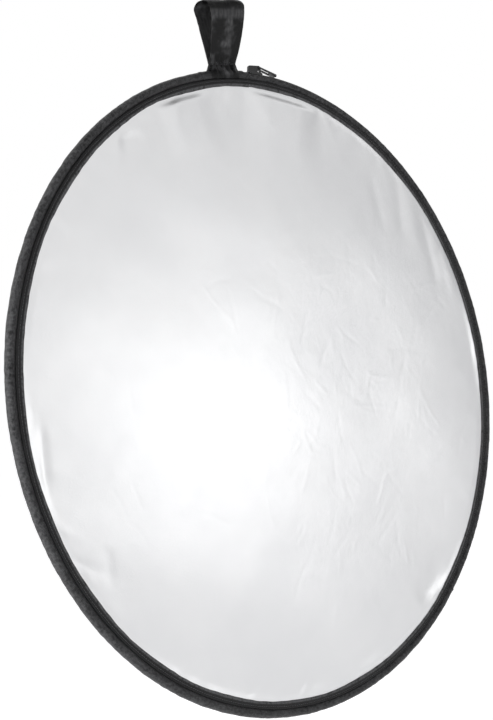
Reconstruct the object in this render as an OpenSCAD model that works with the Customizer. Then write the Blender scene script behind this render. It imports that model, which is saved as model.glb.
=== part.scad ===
// Collapsible reflector disc: a sprung steel hoop in a diffuser core, inside a zip-up cover.
// The origin is the disc's centre. +Z is up, the silver face looks along -Y, sizes are in mm.
// Ring profiles are drawn as [r, h]: r from the disc's centre, h in front of its mid plane.
// Angles run counter-clockwise from +X, seen from the front.

/* [Disc] */
// Outer diameter of the open disc
disc_d = 810; // [560:10:1070]
// Angle of the fold line, which crosses the rim here and opposite
fold_angle = 114; // [112:1:120]

/* [Cover] */
// Diameter of the soft edge tube
rim_d = 12; // [12:0.1:12.4]
// Width of the flat flange inside the tube
flange_w = 9; // [7:0.5:12]
// Thickness of the black edge fabric
band_t = 0.8; // [0.6:0.1:0.8]
// Thickness of each cover panel
panel_t = 0.3; // [0.2:0.1:0.4]

/* [Core] */
// Thickness of the diffuser fabric
core_t = 0.2; // [0.1:0.1:0.3]
// Width of the spring steel band, across the disc's thickness
hoop_w = 6; // [5:0.5:6]
// Thickness of the spring steel band
hoop_t = 1; // [0.6:0.1:1]
// Length of the ferrule that joins the hoop's ends
ferrule_l = 30; // [24:1:40]

/* [Zip] */
// Angle where the zip starts, beside the carry loop
zip_start = 84.9; // [84.4:0.1:85.1]
// Angle where the zip ends
zip_end = -50; // [-52:1:-30]
// Width of each zip coil
coil_w = 2.2; // [2:0.1:2.3]
// Height of each zip coil
coil_h = 2; // [1.6:0.1:2.1]
// Length of the zip slider
slider_l = 22; // [20:0.5:23]
// Length of the pull tab
pull_l = 30; // [27:1:32]

/* [Carry loop] */
// Ribbon width at the top of the loop
ribbon_w = 58; // [50:1:60]
// Ribbon width where it is gathered and sewn
gather_w = 45; // [38:1:46]
// Height of the loop above the rim
loop_h = 87; // [70:1:100]
// Gap inside the loop, front to back, at its widest
loop_gap = 30; // [24:1:34]
// Thickness of the ribbon
ribbon_t = 1; // [0.8:0.1:1.4]

/* [Hidden] */
$fn = 240;
small_fn = 48;

// Fold: the two halves stop short of the fold line by this much
fold_gap = 0.3;
disc_r = disc_d / 2;
gap_angle = asin(fold_gap / (disc_r - 30));
right_from = fold_angle - 180 + gap_angle;
right_to = fold_angle - gap_angle;
left_from = fold_angle + gap_angle;
left_to = fold_angle + 180 - gap_angle;

// Edge tube and flange
tube_r = disc_r - rim_d / 2;
face_h = rim_d / 2;
panel_h = face_h - band_t;
mouth_h = panel_h - 0.8;
panel_r = tube_r - 5.9;
flange_out = tube_r - 5.6;
flange_in = flange_out - flange_w;
groove_w = 1;
wall_steps = 14;
thread_w = 0.6;
thread_d = 0.3;
seam_r = flange_out - 2.8;

// Core, from the centre out: fabric, binding folded over it, hoop in the binding's pocket
binding_t = 0.45;
hoop_r = tube_r - 2;
pocket_r = hoop_r + hoop_t + 0.7;
pocket_h = hoop_w / 2 + 0.6;
fabric_r = hoop_r - 2.8;
binding_w = 10;
core_seam_r = fabric_r - 5.4;
core_thread_h = 0.25;

// Hoop joint
splice_angle = 20;
splice_gap = 0.5;
ferrule_t = 0.4;
ferrule_play = 0.05;
rivet_d = 2.2;
rivet_hole_d = 2.3;
rivet_head_d = 3.6;
rivet_head_h = 0.15;
rivet_play = 0.02;
rivet_pitch = 18;
mm_per_degree = hoop_r * PI / 180;

// Zip chain: the two halves leave a gap in which the slider's post runs
zip_gap = 0.95;
tape_t = 0.6;
tape_r = tube_r + 2.5;
tape_h = 5.1;
coil_r = tape_r + tape_t;
stop_l = 2.4;
stop_h = 0.4;
stop_side = 0.25;
stop_degrees = stop_l * 180 / (PI * coil_r);
coil_start = zip_start - 0.45;
coil_end = zip_end + 0.6;

// Slider, in its own frame: x along the zip and away from the loop, z out from the disc's centre
slider_room = 2.7;
slider_angle = coil_start - (slider_l / 2 + slider_room) * 180 / (PI * coil_r);
slider_w = 9.6;
slider_play = 0.5;
plate_t = 1.1;
top_t = 1.2;
rim_wall = 1.3;
post_w = 1.2;
post_l = 4.5;
bottom_z = tape_r - slider_play - plate_t;
top_z = coil_r + coil_h + slider_play;
crown_z = top_z + top_t;
crown_h = 9.6;
crown_rise = 1.4;
crown_w = 3.2;
crown_t = 1.6;
crown_back = -10.8;
crown_front = 10.4;
eye_back = 5.4;
spring_w = 2.2;
spring_t = 0.3;
spring_back = -8.4;
spring_l = 16.2;
tooth_x = 1.5;
tooth_l = 1.2;
tooth_w = 1;
tooth_drop = 2.4;
tooth_play = 0.4;

// Pull tab, which hangs from a bar under the crown
pivot_x = 7.4;
pivot_z = crown_z + 6.6;
bar_d = 1.6;
pull_w = 9;
pull_t = 2;
pull_slot_w = 4.4;
pull_slot_l = 19.5;
pull_tilt = 14;

// Carry loop
patch_from = 85.8;
patch_to = 95.9;
patch_t = 0.6;
patch_play = 0.1;
hinge_z = disc_r + 3.2;
hinge_d = 2.6;
tab_t = 2.4;
loop_z = disc_r + 9;
loop_seam_z = disc_r + 8.3;
loop_body_h = loop_h - 9;
loop_lean = 12;
base_w = 50;
inner_rise = 5;
loop_thread = 0.35;

// Turns a profile drawn as [r, h] into a ring from one angle to another
module ring_arc(from, to) {
    rotate([90, 0, 0]) rotate_extrude(angle = to - from, start = from) children();
}

// Half of a flat disc on one side of the fold line; side is 1 for the right, -1 for the left
module half_disc(r, h_low, h_high, side) {
    rotate([90, 0, 0]) translate([0, 0, h_low]) linear_extrude(h_high - h_low)
        intersection() {
            circle(r);
            rotate(fold_angle - 90)
                translate([side > 0 ? fold_gap : -fold_gap - disc_d, -disc_d])
                    square([disc_d, 2 * disc_d]);
        }
}

// Stands its children on the rim: x runs clockwise along the rim, z out from the centre
module at_rim(angle) {
    rotate([0, 90 - angle, 0]) children();
}

// Extrudes a profile drawn as [x, z] by a width along y, centred on y = 0
module across(width) {
    rotate([90, 0, 0]) linear_extrude(width, center = true) children();
}

// Cover panels
module panel(side, front) {
    low = front ? panel_h - panel_t : -panel_h;
    half_disc(panel_r, low, low + panel_t, side);
}

module front_panel_right() { color("gainsboro") panel(1, true); }
module front_panel_left() { color("gainsboro") panel(-1, true); }
module rear_panel_right() { color("white") panel(1, false); }
module rear_panel_left() { color("white") panel(-1, false); }

// Edge tube, open towards the centre by twice the mouth height
module tube_profile(outer_d, wall, mouth) {
    difference() {
        translate([tube_r, 0]) circle(d = outer_d, $fn = small_fn);
        translate([tube_r, 0]) circle(d = outer_d - 2 * wall, $fn = small_fn);
        translate([tube_r - outer_d, -mouth]) square([outer_d, 2 * mouth]);
    }
}

// Front flange that holds the panel's edge, with the groove beside the tube and the seam's channel
module flange_profile() {
    difference() {
        polygon([
            [flange_in, panel_h], [flange_in, face_h], [flange_out, face_h],
            [flange_out + groove_w, face_h - groove_w], [tube_r - 3.2, face_h - groove_w - 0.05],
            [tube_r - 2.8, mouth_h + 0.05], [flange_out, mouth_h + 0.05], [flange_out, panel_h]
        ]);
        translate([seam_r, face_h - thread_d]) square([thread_w, thread_d]);
    }
}

// Plain stretch of the band: the tube with a flange on either side of its mouth
module edge_band(from, to) {
    color("#1c1c1e") union() {
        ring_arc(from, to) tube_profile(rim_d, band_t, mouth_h);
        ring_arc(from, to) flange_profile();
        ring_arc(from, to) mirror([0, 1]) flange_profile();
    }
}

module edge_band_top() { edge_band(zip_start, right_to); }
module edge_band_bottom() { edge_band(right_from, zip_end); }
module edge_band_left() { edge_band(left_from, left_to); }

// Points [r, h] on a circle round the tube's middle, from one angle to another
function wall_arc(radius, from, to) =
    [for (i = [0 : wall_steps])
        let (a = from + (to - from) * i / wall_steps) [tube_r + radius * cos(a), radius * sin(a)]];

// Front quarter of the tube's wall, from the zip tape round to the mouth
module zip_wall_profile() {
    outer = rim_d / 2;
    inner = outer - band_t;
    polygon(concat(
        wall_arc(outer, asin(tape_h / outer), 180 - asin(mouth_h / outer)),
        wall_arc(inner, 180 - asin(mouth_h / inner), asin(tape_h / inner))
    ));
}

// Half of the band where the zip replaces the tube's outer side
module zip_band(sign) {
    color("#222224") union() {
        ring_arc(zip_end, zip_start) mirror([0, sign > 0 ? 0 : 1]) zip_wall_profile();
        ring_arc(zip_end, zip_start) mirror([0, sign > 0 ? 0 : 1]) flange_profile();
    }
}

module zip_band_front() { zip_band(1); }
module zip_band_rear() { zip_band(-1); }

// Thread that holds each flange to its panel
module seam(from, to, sign) {
    low = sign > 0 ? face_h - thread_d : -face_h;
    color("#3a3a3c") ring_arc(from, to) translate([seam_r, low]) square([thread_w, thread_d]);
}

module front_seam_right() { seam(right_from, right_to, 1); }
module front_seam_left() { seam(left_from, left_to, 1); }
module rear_seam_right() { seam(right_from, right_to, -1); }
module rear_seam_left() { seam(left_from, left_to, -1); }

// Diffuser core
module core_fabric(side) {
    color("ivory") half_disc(fabric_r, -core_t / 2, core_t / 2, side);
}

module core_fabric_right() { core_fabric(1); }
module core_fabric_left() { core_fabric(-1); }

function mirrored(points) =
    concat(points, [for (i = [len(points) - 1 : -1 : 0]) [points[i][0], -points[i][1]]]);

// Tape folded round the fabric's edge, with the pocket that the hoop lies in
module binding_profile() {
    leg_h = core_t / 2 + binding_t;
    leg_in = fabric_r - binding_w;
    difference() {
        polygon(mirrored([
            [leg_in, leg_h], [fabric_r - 0.4, leg_h],
            [hoop_r - 1.1, pocket_h + binding_t], [pocket_r + binding_t, pocket_h + binding_t]
        ]));
        polygon(mirrored([
            [leg_in - 1, core_t / 2], [fabric_r + 0.2, core_t / 2],
            [hoop_r - 0.8, pocket_h], [pocket_r, pocket_h]
        ]));
    }
}

module core_binding(from, to) {
    color("#2a2a2c") ring_arc(from, to) binding_profile();
}

module core_binding_right() { core_binding(right_from, right_to); }
module core_binding_left() { core_binding(left_from, left_to); }

module core_stitching(from, to) {
    for (sign = [-1, 1])
        color("#4a4a4c") ring_arc(from, to)
            mirror([0, sign > 0 ? 0 : 1])
                translate([core_seam_r, core_t / 2 + binding_t]) square([thread_w, core_thread_h]);
}

module core_stitching_right() { core_stitching(right_from, right_to); }
module core_stitching_left() { core_stitching(left_from, left_to); }

// Spring steel hoop, which ends at the splice inside the ferrule
module hoop_arc(from, to) {
    ring_arc(from, to) translate([hoop_r, -hoop_w / 2]) square([hoop_t, hoop_w]);
}

module at_rivets() {
    for (side = [-1, 1])
        at_rim(splice_angle + side * rivet_pitch / 2 / mm_per_degree) children();
}

module rivet_holes() {
    at_rivets() translate([0, 0, hoop_r - 4]) cylinder(d = rivet_hole_d, h = 8, $fn = small_fn);
}

module hoop_right() {
    half_splice = splice_gap / 2 / mm_per_degree;
    color("silver") difference() {
        union() {
            hoop_arc(right_from, splice_angle - half_splice);
            hoop_arc(splice_angle + half_splice, right_to);
        }
        rivet_holes();
    }
}

module hoop_left() { color("silver") hoop_arc(left_from, left_to); }

module hoop_ferrule() {
    half_l = ferrule_l / 2 / mm_per_degree;
    bore_t = hoop_t + 2 * ferrule_play;
    bore_w = hoop_w + 2 * ferrule_play;
    color("slategray") difference() {
        ring_arc(splice_angle - half_l, splice_angle + half_l)
            translate([hoop_r - ferrule_play, -bore_w / 2]) difference() {
                translate([-ferrule_t, -ferrule_t])
                    square([bore_t + 2 * ferrule_t, bore_w + 2 * ferrule_t]);
                square([bore_t, bore_w]);
            }
        rivet_holes();
    }
}

module ferrule_rivets() {
    inner = hoop_r - ferrule_play - ferrule_t - rivet_play;
    outer = hoop_r + hoop_t + ferrule_play + ferrule_t + rivet_play;
    color("gray") at_rivets() union() {
        translate([0, 0, inner - rivet_head_h])
            cylinder(d = rivet_head_d, h = rivet_head_h, $fn = small_fn);
        translate([0, 0, inner - rivet_head_h / 2])
            cylinder(d = rivet_d, h = outer - inner + rivet_head_h, $fn = small_fn);
        translate([0, 0, outer]) cylinder(d = rivet_head_d, h = rivet_head_h, $fn = small_fn);
    }
}

// Zip tapes, coils and stops
module zip_tape(sign) {
    color("#18181a") ring_arc(zip_end, zip_start)
        translate([tape_r, sign > 0 ? zip_gap : -tape_h]) square([tape_t, tape_h - zip_gap]);
}

module zip_tape_front() { zip_tape(1); }
module zip_tape_rear() { zip_tape(-1); }

module zip_coil(sign) {
    color("#101012") ring_arc(coil_end, coil_start)
        translate([coil_r, sign > 0 ? zip_gap : -zip_gap - coil_w]) square([coil_h, coil_w]);
}

module zip_coil_front() { zip_coil(1); }
module zip_coil_rear() { zip_coil(-1); }

module zip_top_stops() {
    side_w = coil_w + stop_side;
    for (low = [zip_gap, -zip_gap - side_w])
        color("dimgray") ring_arc(coil_start, coil_start + stop_degrees)
            translate([coil_r, low]) square([coil_h + stop_h, side_w]);
}

module zip_bottom_stop() {
    half_w = zip_gap + coil_w + stop_side;
    color("dimgray") ring_arc(coil_end - stop_degrees, coil_end)
        translate([coil_r, -half_w]) square([coil_h + stop_h, 2 * half_w]);
}

// Outline of the slider's plates, with its shoulders at the end that parts the chain
module slider_outline() {
    half_l = slider_l / 2;
    half_w = slider_w / 2;
    polygon([
        [-half_l, -half_w + 1.6], [-half_l + 2, -half_w], [half_l - 5, -half_w],
        [half_l, -half_w + 0.9], [half_l, half_w - 0.9], [half_l - 5, half_w],
        [-half_l + 2, half_w], [-half_l, half_w - 1.6]
    ]);
}

module slider_body() {
    channel_w = slider_w - 2 * rim_wall;
    rim_z = coil_r + slider_play;
    color("#2b2b2e") at_rim(slider_angle) difference() {
        union() {
            translate([0, 0, bottom_z]) linear_extrude(plate_t) intersection() {
                slider_outline();
                square([slider_l, slider_w - 0.8], center = true);
            }
            translate([0, 0, rim_z]) linear_extrude(crown_z - rim_z) slider_outline();
            translate([-slider_l / 2 + 1, -post_w / 2, bottom_z + plate_t / 2])
                cube([post_l, post_w, crown_z - bottom_z - plate_t]);
        }
        for (y = [post_w / 2, -channel_w / 2])
            translate([-slider_l, y, rim_z - 1])
                cube([2 * slider_l, (channel_w - post_w) / 2, top_z - rim_z + 1]);
        translate([-slider_l / 2 + 1 + post_l, -channel_w / 2, rim_z - 1])
            cube([slider_l, channel_w, top_z - rim_z + 1]);
        translate([-slider_l, -channel_w / 2, rim_z - 1])
            cube([slider_l / 2 + 1, channel_w, top_z - rim_z + 1]);
        translate([tooth_x - tooth_play, -tooth_w / 2 - tooth_play, top_z - 1])
            cube([tooth_l + 2 * tooth_play, tooth_w + 2 * tooth_play, top_t + 2]);
    }
}

// Cap over the lock spring, with the eye at its front that the pull tab hangs from
module slider_crown() {
    back_h = crown_h - crown_rise;
    spring_back_wall = spring_back - 0.4;
    eye_front = crown_front - crown_t;
    spring_room = spring_t + 0.5;
    color("#2b2b2e") at_rim(slider_angle) across(crown_w) translate([0, crown_z]) difference() {
        polygon([
            [crown_back, 0], [crown_back + 0.9, back_h - 1.4], [crown_back + 2.4, back_h],
            [crown_front - 2.2, crown_h], [crown_front - 0.2, crown_h - 1.8], [crown_front, 0]
        ]);
        polygon([
            [spring_back_wall, -1], [spring_back_wall, spring_room], [eye_back, spring_room],
            [eye_back, crown_h - crown_t], [eye_front - 1.2, crown_h - crown_t],
            [eye_front, crown_h - crown_t - 1.2], [eye_front, -1]
        ]);
    }
}

// Leaf spring with the tooth that locks into the coil
module slider_lock_spring() {
    color("silver") at_rim(slider_angle) union() {
        translate([spring_back, -spring_w / 2, crown_z]) cube([spring_l, spring_w, spring_t]);
        translate([tooth_x, -tooth_w / 2, crown_z - tooth_drop])
            cube([tooth_l, tooth_w, tooth_drop + spring_t / 2]);
    }
}

module pull_outline() {
    half_w = pull_w / 2;
    difference() {
        polygon([
            [0, -half_w + 0.7], [pull_l * 0.7, -half_w], [pull_l - 1.8, -half_w],
            [pull_l, -half_w + 1.8], [pull_l, half_w - 1.8], [pull_l - 1.8, half_w],
            [pull_l * 0.7, half_w], [0, half_w - 0.7]
        ]);
        translate([-bar_d, -pull_slot_w / 2]) square([pull_slot_l + bar_d, pull_slot_w]);
    }
}

module pull_tab() {
    color("#151517") at_rim(slider_angle)
        translate([pivot_x, 0, pivot_z]) rotate([0, pull_tilt, 0]) union() {
            translate([0, 0, -pull_t / 2]) linear_extrude(pull_t) pull_outline();
            rotate([90, 0, 0]) cylinder(d = bar_d, h = pull_w - 1.4, center = true, $fn = small_fn);
        }
}

// Patch that wraps the edge tube where the carry loop is sewn on
module loop_base_patch() {
    inner_d = rim_d + 2 * patch_play;
    color("#1a1a1c") ring_arc(patch_from, patch_to)
        tube_profile(inner_d + 2 * patch_t, patch_t, panel_h + 0.1);
}

// Side view of the loop as [y, z]: a wedge, pinched at the seam and rounded over at its top
function lean(s) = -loop_lean * s * (2 - s);
function belly(turn) =
    let (s = (1 - cos(turn)) / 2)
    sign(sin(turn)) * pow(s, 0.8) * sqrt(1 - pow(s, 12)) / 0.815;
function loop_point(turn, half_gap, height) =
    let (s = (1 - cos(turn)) / 2)
    [lean(s) + half_gap * belly(turn), s * height];
function loop_outline(half_gap, height, steps) =
    [for (i = [0 : steps - 1]) loop_point(i * 360 / steps, half_gap, height)];

module loop_side() {
    steps = 60;
    half_gap = loop_gap / 2;
    inner_h = loop_body_h - inner_rise - ribbon_t;
    difference() {
        union() {
            translate([0, loop_z]) polygon(loop_outline(half_gap + ribbon_t, loop_body_h, steps));
            translate([-tab_t / 2, hinge_z]) square([tab_t, loop_z - hinge_z + 3]);
            translate([0, hinge_z]) circle(d = hinge_d, $fn = small_fn);
        }
        translate([0, loop_z + inner_rise]) polygon(loop_outline(half_gap, inner_h, steps));
    }
}

// Front view of the loop, from its gathered seam to its full width
module loop_front() {
    top = disc_r + loop_h + 1;
    full_z = disc_r + loop_h * 0.9;
    polygon([
        [-base_w / 2, disc_r], [base_w / 2, disc_r], [gather_w / 2, loop_seam_z + 2],
        [ribbon_w / 2, full_z], [ribbon_w / 2, top], [-ribbon_w / 2, top],
        [-ribbon_w / 2, full_z], [-gather_w / 2, loop_seam_z + 2]
    ]);
}

module loop_strap() {
    color("#202022") intersection() {
        rotate([90, 0, 90]) linear_extrude(2 * ribbon_w, center = true) loop_side();
        across(4 * loop_gap) loop_front();
    }
}

module loop_stitching() {
    half_l = gather_w / 2 - 1;
    for (y = [tab_t / 2, -tab_t / 2 - loop_thread])
        color("#505054") translate([-half_l, y, loop_seam_z - loop_thread / 2])
            cube([2 * half_l, loop_thread, loop_thread]);
}

front_panel_right();
front_panel_left();
rear_panel_right();
rear_panel_left();
front_seam_right();
front_seam_left();
rear_seam_right();
rear_seam_left();
edge_band_top();
edge_band_bottom();
edge_band_left();
zip_band_front();
zip_band_rear();
core_fabric_right();
core_fabric_left();
core_binding_right();
core_binding_left();
core_stitching_right();
core_stitching_left();
hoop_right();
hoop_left();
hoop_ferrule();
ferrule_rivets();
zip_tape_front();
zip_tape_rear();
zip_coil_front();
zip_coil_rear();
zip_top_stops();
zip_bottom_stop();
slider_body();
slider_crown();
slider_lock_spring();
pull_tab();
loop_base_patch();
loop_strap();
loop_stitching();
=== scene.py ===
"""Looks of the collapsible reflector disc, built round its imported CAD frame.

Places on the disc are given as an angle, counter-clockwise from +X seen from the front, a radius r
from the disc's centre, and a height h in front of its middle plane, which is -Y. Sizes are in metres.
"""

import math

import bpy
import numpy as np
from mathutils import Matrix, Vector

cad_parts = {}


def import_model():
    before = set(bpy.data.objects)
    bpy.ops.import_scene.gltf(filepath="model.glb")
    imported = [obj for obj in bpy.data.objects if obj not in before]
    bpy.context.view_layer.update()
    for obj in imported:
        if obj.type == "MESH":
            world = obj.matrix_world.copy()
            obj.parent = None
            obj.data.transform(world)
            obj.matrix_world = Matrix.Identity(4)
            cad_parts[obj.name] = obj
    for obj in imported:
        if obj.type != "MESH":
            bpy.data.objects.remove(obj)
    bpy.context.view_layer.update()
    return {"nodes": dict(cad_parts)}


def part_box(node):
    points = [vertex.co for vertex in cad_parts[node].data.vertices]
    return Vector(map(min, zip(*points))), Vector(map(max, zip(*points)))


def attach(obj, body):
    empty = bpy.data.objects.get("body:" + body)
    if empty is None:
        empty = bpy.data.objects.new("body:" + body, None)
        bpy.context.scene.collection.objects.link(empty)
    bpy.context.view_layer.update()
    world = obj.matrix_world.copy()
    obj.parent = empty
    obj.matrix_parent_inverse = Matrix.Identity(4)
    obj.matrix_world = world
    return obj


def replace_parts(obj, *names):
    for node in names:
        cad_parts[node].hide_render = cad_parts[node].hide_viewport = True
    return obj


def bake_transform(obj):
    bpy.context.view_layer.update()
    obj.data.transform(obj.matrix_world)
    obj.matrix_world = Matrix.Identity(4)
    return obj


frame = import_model()
MM = 0.001
FACES = ((1, "front"), (-1, "rear"))

# Sizes that the frame gives
DISC_R = -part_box("edge_band_left")[0].x
RIM_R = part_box("edge_band_left")[1].y
TUBE_R = DISC_R - RIM_R
PANEL_R = -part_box("front_panel_left")[0].x
PANEL_H = -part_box("front_panel_left")[0].y
FABRIC_R = -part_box("core_fabric_left")[0].x
HOOP_OUT = -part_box("hoop_left")[0].x
HOOP_HALF_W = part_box("hoop_left")[1].y
BINDING_OUT = -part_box("core_binding_left")[0].x
BINDING_HALF_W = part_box("core_binding_left")[1].y
TAPE_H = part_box("zip_tape_rear")[1].y
LOOP_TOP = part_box("loop_strap")[1].z
PATCH_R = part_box("loop_base_patch")[1].y

# Cover, with its angles in degrees, as all angles on the disc are
BAND_T = 0.8 * MM
FLANGE_OUT = TUBE_R - 5.6 * MM
FLANGE_IN = FLANGE_OUT - 9 * MM
SEAM_R = FLANGE_OUT - 2.5 * MM
ZIP_FROM, ZIP_TO = -50.0, 84.9
RING_STEP = 0.33
WEAVE_UV = "weave"
COVER_RIM_POINTS, COVER_SPACING = 1024, 2.42 * MM
# Where the band's tube opens to the flanges, outside and inside, and to the zip: degrees from outwards
MOUTH_OUTSIDE, MOUTH_INSIDE, ZIP_MOUTH = 136, 130, 60
SEAM_H, SEAM_PITCH, SEAM_THREAD_R = RIM_R - 0.1 * MM, 3.6 * MM, 0.3 * MM

# Core
BINDING_W = 10 * MM
BINDING_T = 0.45 * MM
CORE_SEAM_R = FABRIC_R - 5.1 * MM
HOOP_T = 1 * MM
SPLICE_ANGLE = 20.0
SPLICE_GAP = 0.5 * MM
HOOP_RINGS = 721
CORE_RIM_POINTS, CORE_SPACING = 512, 4.8 * MM
CORE_SEAM_H, CORE_SEAM_PITCH, CORE_THREAD_R = BINDING_T + 0.3 * MM, 3.2 * MM, 0.2 * MM

# Zip
TAPE_R = TUBE_R + 2.5 * MM
TAPE_T = 0.6 * MM
COIL_FROM, COIL_TO = -49.4, 84.45
COIL_PITCH = 1.4 * MM
COIL_WIRE = 0.3 * MM
COIL_FACETS = 12

# Carry loop: the same side curve as its solid, and how high its foot bends
LOOP_Z = DISC_R + 9 * MM
LOOP_H = LOOP_TOP - LOOP_Z
LOOP_LEAN = 12 * MM
LOOP_HALF_GAP = 15 * MM
LOOP_SEAM_Z = DISC_R + 8.3 * MM
RIBBON_W = 58 * MM
GATHER_W = 45 * MM
RIBBON_T = 0.9 * MM
# The ribbon hugs the rim between these turns, in degrees up from straight behind, and the side curve starts
# and ends this far into its own turn, in radians
HUG_FROM, HUG_TO = -36, 62
LOOP_OPENING = 0.42
RIBBON_ROWS, RIBBON_COLUMNS = 260, 57
# The patch under the loop: its ends round the disc, and how far round the tube it wraps, in degrees
PATCH_FROM, PATCH_TO, PATCH_WRAP = 85.8, 95.9, 128
# Along the ribbon from its rear end: where its rear half ends, which is painted lighter as painted light,
# and where the painted highlight band over the pressed bend at the top starts and ends
REAR_TO = (0.100, 0.085)
SHINE_FROM = (0.132, 0.137)
SHINE_TO = (0.149, 0.142)

# Camera, looking at the disc's silver side from the left
CAMERA_AZIMUTH, CAMERA_ELEVATION, CAMERA_ROLL = -43.07, 0.64, -9.26
CAMERA_DISTANCE = 2.2574
CAMERA_AIM = (-0.933, -0.907)
CAMERA_LENS = 90

# Studio shades: behind the disc, then before it on the left, on the right, higher up and overhead
STUDIO_BEHIND = (1, 1, 1)
STUDIO_LEFT = (0.98, 0.98, 0.98)
STUDIO_RIGHT = (0.46, 0.462, 0.471)
STUDIO_UPPER = (0.94, 0.94, 0.945)
STUDIO_OVERHEAD = (0.08, 0.08, 0.082)
FLOOR_HALF, FLOOR_Z = 60.0, -0.62
# Lamps: name, place, the point it faces, width in metres, and watts
LAMPS = [
    ("softbox", (1.51, -1.88, -0.09), (-0.03, 0, -0.04), 0.7, 1.45),
    ("side light", (-2.5, 0.22, 0.3), (-0.3, 0, 0), 0.9, 50),
    ("loop light", (-2.3, -0.9, 0.8), (0, 0, 0.44), 0.5, 20),
]


# ---------------------------------------------------------------- meshes

def polar(angles, r, h):
    """Points in the part's frame, from angles in degrees, radii and heights that broadcast together."""
    turns = np.radians(angles)
    r, h, turns = np.broadcast_arrays(r, h, turns)
    return np.stack([r * np.cos(turns), -h, r * np.sin(turns)], -1)


def harmonics(angles, seed, low, high, count=14):
    """A smooth wandering value round the rim, mostly within -1 and 1."""
    rng = np.random.default_rng(seed)
    waves = rng.integers(low, high, count)
    phases = rng.uniform(0, 2 * math.pi, count)
    return np.cos(np.multiply.outer(np.radians(angles), waves) + phases).sum(-1) / math.sqrt(count)


def ripples(x, z, seed, wavelength, count=18):
    """A smooth random relief over a flat place, mostly within -1 and 1."""
    rng = np.random.default_rng(seed)
    total = np.zeros(np.broadcast(x, z).shape)
    for _ in range(count):
        turn = rng.uniform(0, 2 * math.pi)
        k = 2 * math.pi / (wavelength * rng.uniform(0.7, 1.5))
        phase = rng.uniform(0, 2 * math.pi)
        total += np.cos(k * (x * math.cos(turn) + z * math.sin(turn)) + phase)
    return total / math.sqrt(count)


def smooth(t):
    """A soft step from 0 to 1."""
    t = np.clip(t, 0, 1)
    return t * t * (3 - 2 * t)


def make_piece(name, points, faces, uv, look):
    """A smooth-shaded mesh piece; uv holds one pair for each corner of each face."""
    mesh = bpy.data.meshes.new(name)
    mesh.from_pydata(points.reshape(-1, 3).tolist(), [], faces)
    layer = mesh.uv_layers.new(name=WEAVE_UV)
    layer.data.foreach_set("uv", np.asarray(uv, np.float32).ravel())
    mesh.materials.append(look)
    mesh.shade_smooth()
    mesh.update()
    piece = bpy.data.objects.new(name, mesh)
    bpy.context.scene.collection.objects.link(piece)
    return piece


def grid_faces(rows, columns, wrap_rows, wrap_columns):
    """Quads over a grid of points, and each corner's (row, column) before it wraps."""
    i = np.arange(rows if wrap_rows else rows - 1)
    j = np.arange(columns if wrap_columns else columns - 1)
    i, j = (a.ravel() for a in np.meshgrid(i, j, indexing="ij"))
    corners = np.stack([np.stack([i, j], -1), np.stack([i + 1, j], -1),
                        np.stack([i + 1, j + 1], -1), np.stack([i, j + 1], -1)], 1)
    index = (corners[..., 0] % rows) * columns + corners[..., 1] % columns
    return index, corners


def sweep(name, rings, look, closed=False, along=None):
    """A piece through rings, an array [ring, point, xyz] of closed outlines.

    It is capped unless it closes on itself. u runs along the rings, in metres of the array along if given,
    and v round the outline.
    """
    count, points = rings.shape[:2]
    middles = rings.mean(1)
    if along is None:
        steps = np.linalg.norm(np.diff(middles, axis=0, append=middles[:1]), axis=1)
        along = np.concatenate([[0], np.cumsum(steps)])
    outline = rings[0]
    around = np.concatenate([[0], np.cumsum(np.linalg.norm(np.roll(outline, -1, 0) - outline, axis=1))])
    index, corners = grid_faces(count, points, closed, True)
    uv = np.stack([along[corners[..., 0]], around[corners[..., 1]]], -1).reshape(-1, 2)
    faces = index.tolist()
    if not closed:
        last = (count - 1) * points
        faces.append(list(range(points)))
        faces.append(list(range(last + points - 1, last - 1, -1)))
        caps = np.concatenate([around[:points], around[:points][::-1]])
        uv = np.concatenate([uv, np.stack([caps, caps], -1)])
    return make_piece(name, rings, faces, uv, look)


def tubes(name, paths, sides, radii, look, facets=6):
    """Thin closed tubes along paths [tube, point, xyz].

    sides are directions square to the paths, and radii holds one radius for each point.
    """
    count, points = paths.shape[:2]
    tangents = np.gradient(paths, axis=1)
    tangents /= np.linalg.norm(tangents, axis=-1, keepdims=True)
    ups = np.cross(tangents, sides)
    ups /= np.linalg.norm(ups, axis=-1, keepdims=True)
    outs = np.cross(ups, tangents)
    turns = np.linspace(0, 2 * math.pi, facets, endpoint=False)
    ring = np.cos(turns)[:, None] * outs[:, :, None] + np.sin(turns)[:, None] * ups[:, :, None]
    rings = paths[:, :, None] + ring * np.asarray(radii)[:, None, None]
    index, corners = grid_faces(points, facets, False, True)
    steps = np.linalg.norm(np.diff(paths[0], axis=0), axis=1)
    along = np.concatenate([[0], np.cumsum(steps)])
    body_uv = np.stack([along[corners[..., 0]], corners[..., 1] / facets * MM], -1).reshape(-1, 2)
    caps = [list(range(facets)), list(range(points * facets - 1, (points - 1) * facets - 1, -1))]
    uv = np.concatenate([body_uv, np.zeros((2 * facets, 2))])
    faces = []
    for k in range(count):
        start = k * points * facets
        faces += (index + start).tolist()
        faces += [[v + start for v in cap] for cap in caps]
    return make_piece(name, rings, faces, np.tile(uv, (count, 1)), look)


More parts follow.
